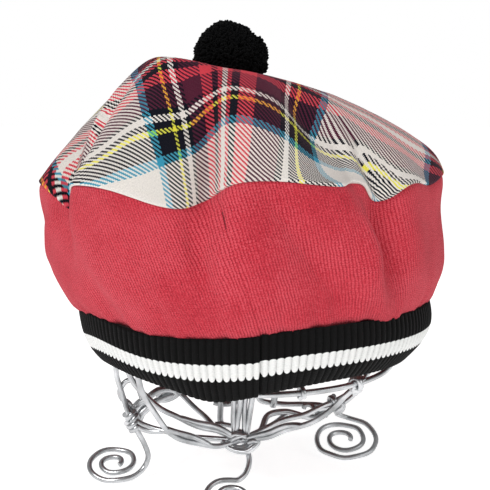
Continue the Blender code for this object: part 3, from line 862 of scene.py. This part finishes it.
def knit_look():
    """Plain knit, each wale a column of V stitches, with fuzz. u counts wales, v courses."""
    look = Look("red_knit")
    flat, u, v = look.uv()
    soft = look.noise(60.0, 3.0, 0.6)
    fuzz = look.noise(1500.0, 3.0, 0.75)
    worn = look.noise(26.0)
    uneven = look.noise(210.0)
    across = look.zigzag(u + (uneven - 0.5) * 0.9) * 2.0
    leaning = look.math("FRACT", v + (across * 0.6 + uneven * 1.6))
    loop = look.math("SINE", leaning * math.pi)
    ridge = look.math("POWER", look.math("SINE", across * (math.pi / 2)), 0.55)
    # The stitches' relief is also painted into the colour as shade: darker between the wales and at each
    # loop's ends.
    stitch = ridge * 0.48 + loop * 0.25
    crisp = look.math("MAXIMUM", look.math("MINIMUM", worn * 3.0 - 0.65, 1.25), 0.25)
    level = 0.30 + (stitch - 0.42) * crisp + (fuzz * 1.5 - 0.39) + (soft - 0.5) * 0.20
    # Painted shade: the knit is darker along the seam's groove, and darker still in the pinch in it.
    from_seam = abs(u + (soft - 0.5))
    from_pinch = abs(v + PINCH_AT) / PINCH_LONG
    pinch = (from_seam < 0.22) * (from_pinch < 1.0) * (uneven > 0.44)
    level = level - (from_seam < 0.5) * 0.06 - pinch * 0.38
    colour = look.shades(level, (0.16, 92, 14, 24), (0.48, 160, 32, 46), (0.76, 196, 52, 66),
                         (1.0, 214, 84, 96))
    look.bump(stitch * 2.0 + fuzz * 1.6, KNIT_BUMP)
    return look.finish(colour, 0.95, sheen=0.25, sheen_tint=srgb(255, 170, 178), specular=0.12)


def rib_look(name, sheen, *stops):
    """Rib knit. u counts ribs, v counts courses down each rib."""
    look = Look(name)
    flat, u, v = look.uv()
    across = look.zigzag(u) * 2.0
    loop = look.math("SINE", look.math("FRACT", v + across * 0.9) * math.pi)
    fuzz = look.noise(1300.0, 3.0, 0.7)
    # Painted shade: each rib is darker towards the valleys beside it and at its loops' ends.
    level = loop * 0.10 + fuzz * 0.78 + across * 0.25
    colour = look.shades(level, *stops)
    look.bump(loop * 0.15 + fuzz, KNIT_BUMP)
    return look.finish(colour, 0.95, sheen=sheen, sheen_rough=0.4, specular=0.15)


def yarn_look():
    look = Look("black_yarn")
    fuzz = look.noise(900.0, 3.0, 0.7)
    colour = look.shades(fuzz, (0.25, 2, 2, 2), (0.6, 5, 5, 6), (0.9, 13, 13, 17))
    look.bump(fuzz, YARN_BUMP)
    return look.finish(colour, 0.95, sheen=0.03, specular=0.08)


def wire_look():
    look = Look("bright_wire")
    drawn = look.noise(260.0, 4.0, 0.6)
    worn = look.noise(60.0, 3.0, 0.6)
    colour = look.shades(worn, (0.25, 140, 142, 143), (0.55, 194, 196, 198), (0.8, 226, 227, 229))
    look.bump(drawn, WIRE_BUMP, 0.5)
    return look.finish(colour, 0.22 + drawn * 0.22, metal=1.0)


def floor_look():
    look = Look("studio_floor")
    grain = look.noise(3.0, 1.0)
    colour = look.ramp(grain, ((0.0, (0.86, 0.86, 0.86)), (1.0, (0.90, 0.90, 0.90))))
    look.feed(look.shader.inputs["Emission Color"], (1.0, 1.0, 1.0))
    look.feed(look.shader.inputs["Emission Strength"], FLOOR_GLOW)
    return look.finish(colour, 0.9, specular=0.1)


TARTAN = tartan_look()
KNIT = knit_look()
RIB_DARK = rib_look("black_rib", 0.035, (0.15, 2, 2, 2), (0.55, 8, 8, 8), (1.0, 17, 17, 18))
RIB_PALE = rib_look("white_rib", 0.1, (0.15, 186, 187, 186), (0.55, 224, 225, 223), (1.0, 242, 242, 240))
YARN_BLACK = yarn_look()
WIRE = wire_look()


def finish_piece(obj, node):
    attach(obj, "root")
    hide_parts(node)


# The hat
def make_crown():
    """The tartan cloth, with its hem rolled in at the seam."""
    around = columns(CROWN_COLUMNS)
    shares = np.linspace(CROWN_START, 1, CROWN_ROWS)
    grid = crown(around[None, :], shares[:, None])
    uv = lie_flat(around, shares, grid)
    free = np.clip((1 - shares) / 0.08, 0, 1)[:, None]
    grid = ripple(grid, CROWN_WAVE, CROWN_SWELL * free, 3.0)
    grid = rolled(grid, HEM_ROLL, 130, HEM_STEPS)
    uv = spread_rows(uv, HEM_STEPS, 0.5)
    inner = grid - CROWN_WALL * outward(grid)
    obj = shell("crown_cloth", grid, inner, uv, [TARTAN], close_top=True)
    finish_piece(obj, "crown_top")


def band_step(azimuth):
    """The band's seam lifts it a hair on one side and lowers it on the other."""
    away = past(azimuth, SEAM_AT)
    return BAND_HEIGHT * STEP_SHARE * np.where(away >= 0, 0.5, -0.5) * np.exp(-np.abs(away) / STEP_REACH)


def make_side():
    """The knit starts behind the crown's hem and ends inside the band's top."""
    around = columns(KNIT_COLUMNS)
    v = np.linspace(0, 1, KNIT_ROWS)[:, None]
    grid = side(around[None, :], v)
    free = np.clip(v / 0.12, 0, 1) * np.clip((1 - v) / 0.10, 0, 1)
    gather = np.clip((v - GATHER_START) / (1 - GATHER_START), 0, 1) ** 1.5
    waves = sum(share * np.sin(np.radians(around * count + begin)) for count, begin, share in GATHERS)
    seam = (around - SEAM_AT + KNIT_LEAN * (1 - v)) / SEAM_WIDTH
    tuck = HEM_TUCK * np.exp(-((v / 0.04) ** 2)) + FOOT_TUCK * np.exp(-(((1 - v) / 0.035) ** 2))
    tall = steps_down(grid).mean(1).sum()
    pinch = PINCH_DEPTH * np.exp(-(((v * tall / COURSE - PINCH_AT) / PINCH_LONG) ** 2))
    push = GATHER_DEPTH * gather * waves[None, :] - (SEAM_DEPTH + pinch) * np.exp(-(seam**2)) - tuck
    for name, seam_at, band_at, top, foot, deep, wide in DENTS:
        held = np.sin(np.pi * np.clip((v - top) / (foot - top), 0, 1))
        push = push - deep * held * bell(around[None, :], seam_at + (band_at - seam_at) * v, wide, wide)
    grid = grid + outward(grid) * push[..., None]
    grid[..., 2] += (band_step(around)[None, :] - FOOT_SINK) * v**8
    grid = ripple(grid, KNIT_WAVE, KNIT_SWELL * free, 11.0)
    wales = round(2 * math.pi * BELLY_R / WALE)
    at = np.append(around, around[0] + 360)
    down = np.concatenate([[0], np.cumsum(steps_down(grid).mean(1))])
    u = (at[None, :] - SEAM_AT + KNIT_LEAN * (1 - v)) * wales / 360
    uv = np.stack([u, np.broadcast_to(-down[:, None] / COURSE, u.shape)], -1)
    inner = grid - SIDE_WALL * outward(grid)
    finish_piece(shell("knit_side", grid, inner, uv, [KNIT]), "side_knit")


def make_band():
    """Ribs with rounded backs and narrow valleys, and a stripe whose edges run in fingers."""
    count = RIBS * RIB_STEPS
    at = SEAM_AT + 360 * np.arange(count) / count
    phase = (np.arange(count) % RIB_STEPS) / RIB_STEPS
    crest = np.abs(np.sin(np.pi * phase)) ** RIB_ROUND
    rows = []
    for mark in BAND_MARKS:
        near_top = max(0.0, 1 - abs(mark - STRIPE_TOP) / FINGER_REACH)
        near_foot = max(0.0, 1 - abs(mark - STRIPE_FOOT) / FINGER_REACH)
        v = mark + (FOOT_FINGER * near_foot - TOP_FINGER * near_top) * (crest - 0.6)
        row = band(at, v, RIB_DEEP * (crest - 0.5))
        row[:, 2] += band_step(at)
        rows.append(row)
    grid = np.array(rows)
    seam = np.exp(-((past(at, SEAM_AT) / BAND_SEAM_WIDTH) ** 2))
    grid = grid - outward(grid) * (BAND_SEAM_DEPTH * seam)[None, :, None]
    grid = rolled(grid, BAND_ROLL, 120, BAND_ROLL_STEPS)
    inner = np.array([band(at, mark, -BAND_WALL) for mark in (0.0, 0.25, 0.5, 0.75, 1.0)])
    striped = range(BAND_MARKS.index(STRIPE_TOP), BAND_MARKS.index(STRIPE_FOOT))
    slots = [int(r in striped) for r in range(len(grid) - 1)]
    u = np.arange(count + 1)[None, :] / RIB_STEPS + np.zeros((len(grid), 1))
    places = np.array([*BAND_MARKS, *(1 + 0.01 * (k + 1) for k in range(BAND_ROLL_STEPS))])
    uv = np.stack([u, np.broadcast_to(places[:, None] * BAND_HEIGHT / COURSE, u.shape)], -1)
    obj = shell("ribbed_band", grid, inner, uv, [RIB_DARK, RIB_PALE], slots=slots)
    finish_piece(obj, "rib_band")


def lump(way):
    """Share of its radius that the pompom has in a direction."""
    swell = 1 + 0.09 * noise.noise(way * 1.9 + Vector((5, 1, 2))) + 0.04 * noise.noise(way * 4.5)
    for *lump_at, high, wide in POMPOM_LUMPS:
        swell += high * math.exp(-((way.angle(Vector(lump_at)) / wide) ** 2))
    return swell


def make_pompom():
    """A head of yarn with short cut ends standing all over it."""
    rng = np.random.default_rng(7)
    middle = Vector((POMPOM_X, 0, BRIM_Z + CROWN_RISE - SEAT_DIP + GAP + POMPOM_R * POMPOM_FLAT))
    golden = math.pi * (3 - math.sqrt(5))
    verts = []
    faces = []

    def put(spot):
        verts.append(middle + Vector((spot.x, spot.y, spot.z * POMPOM_FLAT)))

    def direction(flat, turn, up):
        return Vector((flat * math.cos(turn), flat * math.sin(turn), up))

    for i in range(HEAD_ROWS + 1):
        tilt = math.pi * i / HEAD_ROWS
        for j in range(HEAD_COLUMNS):
            way = direction(math.sin(tilt), math.tau * j / HEAD_COLUMNS, math.cos(tilt))
            put(way * (POMPOM_R - HEAD_INSET) * lump(way))
    for a in range(0, HEAD_ROWS * HEAD_COLUMNS, HEAD_COLUMNS):
        faces += quads(a, a + HEAD_COLUMNS, HEAD_COLUMNS, outside=True)
    for i in range(YARN_ENDS):
        z = 1 - (2 * i + 1) / YARN_ENDS
        way = direction(math.sqrt(1 - z * z), golden * i, z)
        way = (way + Vector(rng.normal(0, 0.03, 3))).normalized()
        lean = Vector(rng.normal(0, 0.55, 3))
        lean = lean - way * lean.dot(way)
        reach = (POMPOM_R + rng.normal(0, END_UNEVEN)) * lump(way)
        start = way * (reach - END_LONG)
        tip = (way + 0.10 * lean).normalized() * reach
        bow = (start + tip) / 2 + END_BOW * lean
        thick = END_R + END_R_MORE * rng.random()
        side_way = way.orthogonal().normalized()
        other = way.cross(side_way)
        base = len(verts)
        for share, wide in END_PROFILE:
            spot = start * (1 - share) ** 2 + 2 * bow * share * (1 - share) + tip * share**2
            for s in range(END_SIDES):
                turn = math.tau * s / END_SIDES
                put(spot + thick * wide * (math.cos(turn) * side_way + math.sin(turn) * other))
        last = base + END_SIDES * (len(END_PROFILE) - 1)
        for a in range(base, last, END_SIDES):
            faces += quads(a, a + END_SIDES, END_SIDES)
        faces.append(tuple(range(last, last + END_SIDES)))
    mesh = bpy.data.meshes.new("yarn_pompom")
    mesh.from_pydata([tuple(v + SHIFT) for v in verts], [], faces)
    mesh.shade_smooth()
    mesh.update()
    finish_piece(placed("yarn_pompom", mesh, YARN_BLACK), "pompom")


# The stand
def make_wire(node, run, *others, closed=False):
    """Round wire along a run of points, which may close, and along others that don't.
    Each of the others comes with its thickness as a share of the wire's."""
    name = node.replace("stand", "wire")
    curve = bpy.data.curves.new(name, "CURVE")
    curve.dimensions = "3D"
    curve.bevel_depth = WIRE_R * THICK
    curve.bevel_resolution = 3
    curve.use_fill_caps = True
    for points, thickness in ((run, 1.0), *others):
        line = curve.splines.new("POLY")
        line.points.add(len(points) - 1)
        for point, spot in zip(line.points, points):
            point.co = (*(Vector(spot) + SHIFT), 1)
            point.radius = thickness
        line.use_smooth = True
    curve.splines[0].use_cyclic_u = closed
    finish_piece(placed(name, curve, WIRE), node)


def bent(points, kind, seed):
    """The run with the small kinks of wire bent by hand, none at its ends."""
    size, wave = KINKS[kind]
    last = len(points) - 1
    made = []
    for i, spot in enumerate(points):
        hold = min(1.0, 6 * i / last, 6 * (last - i) / last)
        made.append(spot + size * hold * noise.noise_vector(spot / wave + Vector((seed, 0, seed))))
    return made


def along_run(points, start, end):
    """The part of a run between two shares of its points."""
    last = len(points) - 1
    return points[round(start * last):round(end * last) + 1]


def strand(points, start, end, way, bow):
    """A second wire beside part of a run, bowed away from it in the middle."""
    part = along_run(points, start, end)
    last = len(part) - 1
    made = []
    for i, spot in enumerate(part):
        swell = math.sin(math.pi * i / last)
        made.append(spot + (STRAND_AWAY * WIRE_R * swell**0.7 + bow * swell) * way)
    return made


def wrap(points, start, end, turns):
    """Wire wound round part of a run."""
    part = along_run(points, start, end)
    made = []
    steps = round(turns * WRAP_STEPS)
    for i in range(steps + 1):
        place = (len(part) - 1) * i / steps
        k = min(int(place), len(part) - 2)
        spot = part[k].lerp(part[k + 1], place - k)
        on = (part[k + 1] - part[k]).normalized()
        side_way = on.cross(Vector((0, -1, 0.2))).normalized()
        other = on.cross(side_way)
        turn = math.tau * turns * i / steps
        made.append(spot + WRAP_AWAY * WIRE_R * (math.cos(turn) * side_way + math.sin(turn) * other))
    return made


def through_points(rows, steps=8):
    """A smooth run through points given in millimetres of the hat's own frame."""
    spots = [Vector(row) / 1000 for row in rows]
    ends = [2 * spots[0] - spots[1]] + spots + [2 * spots[-1] - spots[-2]]
    made = []
    for a, b, c, d in zip(ends, ends[1:], ends[2:], ends[3:]):
        for i in range(steps):
            t = i / steps
            made.append(0.5 * (2 * b + (c - a) * t + (2 * a - 5 * b + 4 * c - d) * t**2
                               + (3 * b - a - 3 * c + d) * t**3))
    return made + [spots[-1]]


def hoop_point(azimuth):
    angle = math.radians(azimuth)
    rise = HOOP_RISE * max(0.0, -math.cos(angle)) ** 2
    return Vector((BAND_OFFSET + HOOP_R * math.cos(angle), HOOP_R * math.sin(angle), rise - HOOP_DROP))


def crown_ring_point(azimuth):
    spot = crown(azimuth, CROWN_RING_SHARE)
    return Vector((spot[0], spot[1], spot[2] - CROWN_WALL - WIRE_R - RING_CLEARANCE))


def bezier(a, b, c, d, t):
    return a * (1 - t) ** 3 + b * 3 * t * (1 - t) ** 2 + c * 3 * t**2 * (1 - t) + d * t**3


def basket_point(row, share):
    """A point of a basket wire, at a share of its way from the hoop to the hub."""
    start = hoop_point(row[1])
    way = HUB - start
    held = [start + Vector((way.x * out, way.y * out, way.z * down)) for out, down in (row[2:4], row[4:])]
    return bezier(start, *held, HUB, share)


def leg_points(row, holders):
    """The arm of a leg, down from its holder, and the scroll that it ends in."""
    name, holder, along, fx, fy, wide, deep, lean, turns, hand, begin, aside, drop, swing = row
    if holder in holders:
        top = basket_point(holders[holder], along)
        outside = math.copysign(LEG_AWAY[0], top.x)
        top += (WIRE_R + LEG_GAP) * Vector((outside, 0, LEG_AWAY[1]))
    else:
        top = HUB + Vector(HUB_LEG).normalized() * HUB_R * 0.8
    lean = math.radians(lean)
    back = Vector((0, math.cos(lean), math.sin(lean)))
    scroll = []
    for i in range(SCROLL_STEPS + 1):
        share = i / SCROLL_STEPS
        angle = math.radians(begin) + hand * math.tau * turns * share
        reach = SCROLL_R * (1 - (1 - SCROLL_END) * share)
        scroll.append(reach * (wide * math.cos(angle) * Vector((1, 0, 0)) + deep * math.sin(angle) * back))
    lowest = min(spot.z for spot in scroll)
    foot = Vector((HOOP_R * fx, HOOP_R * fy, WIRE_R - STAND_HEIGHT - lowest))
    scroll = [foot + spot for spot in scroll]
    heading = (scroll[0] - scroll[1]).normalized()
    length = (scroll[0] - top).length
    first = top + length * Vector((aside, 0, -drop))
    second = scroll[0] + heading * swing * length
    arm = [bezier(top, first, second, scroll[0], i / ARM_STEPS) for i in range(ARM_STEPS)]
    return arm, scroll


def make_rings():
    """The hoop in the band, the ring under the crown and the wires between them."""
    near = [hoop_point(a) for a in range(-80, -30)]
    wraps = [(wrap(near, start, end, turns), thickness) for start, end, turns, thickness in HOOP_WRAPS]
    make_wire("stand_hoop", [hoop_point(a) for a in range(-180, 180, 3)], *wraps, closed=True)
    make_wire("stand_crown_ring", [crown_ring_point(a) for a in range(-180, 180, 4)], closed=True)
    for number, azimuth in enumerate((0, 90, 180, -90), 1):
        foot, top = hoop_point(azimuth), crown_ring_point(azimuth)
        run = [foot.lerp(top, i / 24) for i in range(25)]
        make_wire(f"stand_upright_{number}", bent(run, "upright", number))


def make_posts():
    """The small ring in the middle and the two posts that carry it."""
    middle = HUB + Vector((0, 0, POST_HEIGHT))
    turns = [math.tau * i / 36 for i in range(36)]
    ring = [middle + INNER_RING_R * Vector((math.cos(turn), math.sin(turn), 0)) for turn in turns]
    make_wire("stand_inner_ring", ring, closed=True)
    for number, (end, bow) in enumerate(((ring[0], POST_BOW), (ring[18], -POST_BOW)), 1):
        steep = [HUB + Vector((bow, 0, 0.030)), end + Vector((-3 * bow, 0, -0.004))]
        post = [bezier(HUB + Vector((bow, 0, 0)), *steep, end, k / 24) for k in range(25)]
        post = bent(post, "post", 20.0 + number)
        second = strand(post, 0.0, 0.8, Vector((1, -0.3, 0)).normalized(), 0.0012)
        make_wire(f"stand_post_{number}", post, (second, 1.0))


def make_basket():
    for number, row in enumerate(BASKET):
        run = bent([basket_point(row, i / 60) for i in range(61)], "basket", 5.0 * number)
        others = []
        for name, start, end, sideways, upward, bow in DOUBLED:
            if name == row[0]:
                way = Vector((sideways, -0.3, upward)).normalized()
                others.append((strand(run, start, end, way, bow), 1.0))
        for name, start, end, turns in WOUND:
            if name == row[0]:
                others.append((wrap(run, start, end, turns), 1.0))
        for thickness, *points in LOOSE.get(row[0], ()):
            others.append((through_points(points), thickness))
        make_wire(f"stand_basket_{row[0]}", run, *others)


def make_legs():
    """Each leg stands on the floor, and one that hangs from the basket is wound to it."""
    holders = {row[0]: row for row in BASKET}
    for number, row in enumerate(LEGS):
        arm, scroll = leg_points(row, holders)
        run = bent(arm + scroll, "leg", 40.0 + number)
        lift = -STAND_HEIGHT + WIRE_R * THICK - min(spot.z for spot in run)
        run = [spot + Vector((0, 0, lift * min(1.0, 4.5 * i / len(run)))) for i, spot in enumerate(run)]
        others = [(wrap(arm, 0.0, 0.12, 2.0), 1.0)] if row[1] in holders else []
        make_wire(f"stand_leg_{row[0]}", run, *others)


def make_hub():
    """The knot in the middle: wire wound over and over, and its loose tail."""
    coil = []
    for i in range(HUB_TURNS * 20):
        turn = math.tau * i / 20
        tilt = 0.9 * math.sin(0.45 * turn)
        round_way = Vector((math.cos(turn), math.sin(turn) * math.cos(tilt), math.sin(turn) * math.sin(tilt)))
        coil.append(HUB + HUB_WIDE * (round_way + 0.2 * Vector((0, 0, math.sin(0.8 * turn)))))
    make_wire("stand_hub", coil, (through_points(HUB_TAIL), 1.0))


# Vector noise starts from the clock unless it is seeded.
noise.seed_set(KINK_SEED)
make_crown()
make_side()
make_band()
make_pompom()
make_rings()
make_posts()
make_basket()
make_legs()
make_hub()

# Floor, light and camera
FLOOR_Z = cad_box[0][2]
mesh = bpy.data.meshes.new("studio_floor")
rim = [(x * FLOOR_REACH, y * FLOOR_REACH, FLOOR_Z) for x, y in ((-1, -1), (1, -1), (1, 1), (-1, 1))]
mesh.from_pydata(rim, [], [(0, 1, 2, 3)])
placed("studio_floor", mesh, floor_look())

world = bpy.data.worlds.new("studio")
bpy.context.scene.world = world
world.use_nodes = True
sky = world.node_tree
# The camera sees white paper, and the hat is lit by a dimmer dome.
paper = sky.nodes["Background"]
dome = sky.nodes.new("ShaderNodeBackground")
for node, strength in ((paper, 1.0), (dome, DOME_LIGHT)):
    node.inputs["Color"].default_value = (1, 1, 1, 1)
    node.inputs["Strength"].default_value = strength
ray = sky.nodes.new("ShaderNodeLightPath")
either = sky.nodes.new("ShaderNodeMixShader")
sky.links.new(ray.outputs["Is Camera Ray"], either.inputs[0])
sky.links.new(dome.outputs[0], either.inputs[1])
sky.links.new(paper.outputs[0], either.inputs[2])
sky.links.new(either.outputs[0], sky.nodes["World Output"].inputs["Surface"])

for name, spot, size, power in LAMPS:
    lamp = bpy.data.lights.new(name, "AREA")
    lamp.shape = "DISK"
    lamp.size = size
    lamp.energy = power
    obj = placed(name, lamp)
    obj.location = spot
    obj.rotation_euler = (LAMP_AIM - Vector(spot)).to_track_quat("-Z", "Y").to_euler()

camera = bpy.data.cameras.new("camera")
camera.sensor_width = 36
camera.lens = FOCAL_PX * camera.sensor_width / FRAME_PX
view = placed("camera", camera)
view.location = Vector((0, -CAMERA_BACK, CAMERA_UP)) + SHIFT
view.rotation_euler = (math.radians(90 - CAMERA_DOWN), 0, 0)
bpy.context.scene.camera = view
bpy.context.scene.view_settings.view_transform = "Standard"
